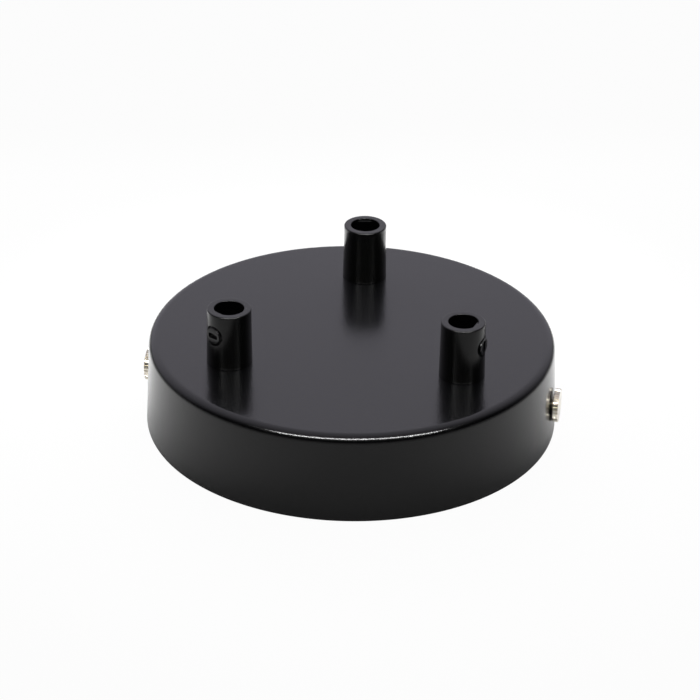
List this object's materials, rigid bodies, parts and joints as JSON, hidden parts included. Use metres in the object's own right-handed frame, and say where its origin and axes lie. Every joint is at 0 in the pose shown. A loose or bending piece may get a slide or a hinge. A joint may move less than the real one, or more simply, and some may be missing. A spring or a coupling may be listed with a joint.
{
  "type": "ceiling rose with cord grips",
  "caption": "Round black ceiling rose for pendant lamps, with clamping cord grips on its flat face and knurled side screws that hold it to a folded ceiling bracket.",
  "frame": {"origin": "centre of the open rim, on the plane that lies against the ceiling", "axes": "+Z points into the room, through the outlets; +X runs along the axis of the two side screws; +Y is towards the back outlet"},
  "size_m": [0.123, 0.12, 0.0432],
  "materials": {
    "powder_coated_steel": "fine-textured satin powder coat",
    "moulded_plastic": "moulded, satin",
    "clamp_screw_plastic": "moulded, satin",
    "nickel_plated_steel": "nickel-plated, knurled rim",
    "zinc_plated_steel": "bright zinc plate",
    "brass": "turned, satin"
  },
  "bodies": {
    "rose": {"canopy_cup": "powder_coated_steel", "mounting_bracket": "zinc_plated_steel", "cord_grip_back": "moulded_plastic", "cord_grip_left": "moulded_plastic", "cord_grip_right": "moulded_plastic", "grip_washer_back": "zinc_plated_steel", "grip_washer_left": "zinc_plated_steel", "grip_washer_right": "zinc_plated_steel", "grip_nut_back": "zinc_plated_steel", "grip_nut_left": "zinc_plated_steel", "grip_nut_right": "zinc_plated_steel", "earth_washer": "brass"},
    "side_screw_left": {"side_screw_left": "nickel_plated_steel"},
    "side_screw_right": {"side_screw_right": "nickel_plated_steel"},
    "clamp_screw_back": {"clamp_screw_back": "clamp_screw_plastic"},
    "clamp_screw_left": {"clamp_screw_left": "clamp_screw_plastic"},
    "clamp_screw_right": {"clamp_screw_right": "clamp_screw_plastic"},
    "earth_screw": {"earth_screw": "brass"}
  },
  "joints": [
    {"name": "side_screw_left_travel", "type": "slide", "parent": "rose", "child": "side_screw_left", "axis": [-1, 0, 0], "range_m": [0, 0.0055]},
    {"name": "side_screw_right_travel", "type": "slide", "parent": "rose", "child": "side_screw_right", "axis": [1, 0, 0], "range_m": [0, 0.0055]},
    {"name": "clamp_screw_back_travel", "type": "slide", "parent": "rose", "child": "clamp_screw_back", "axis": [0.1736, -0.9848, 0], "range_m": [-0.0015, 0.0026]},
    {"name": "clamp_screw_left_travel", "type": "slide", "parent": "rose", "child": "clamp_screw_left", "axis": [0.5446, 0.8387, 0], "range_m": [-0.0015, 0.0026]},
    {"name": "clamp_screw_right_travel", "type": "slide", "parent": "rose", "child": "clamp_screw_right", "axis": [-0.9744, 0.225, 0], "range_m": [-0.0015, 0.0026]},
    {"name": "earth_screw_travel", "type": "slide", "parent": "rose", "child": "earth_screw", "axis": [0, 0, 1], "range_m": [0, 0.002]}
  ]
}
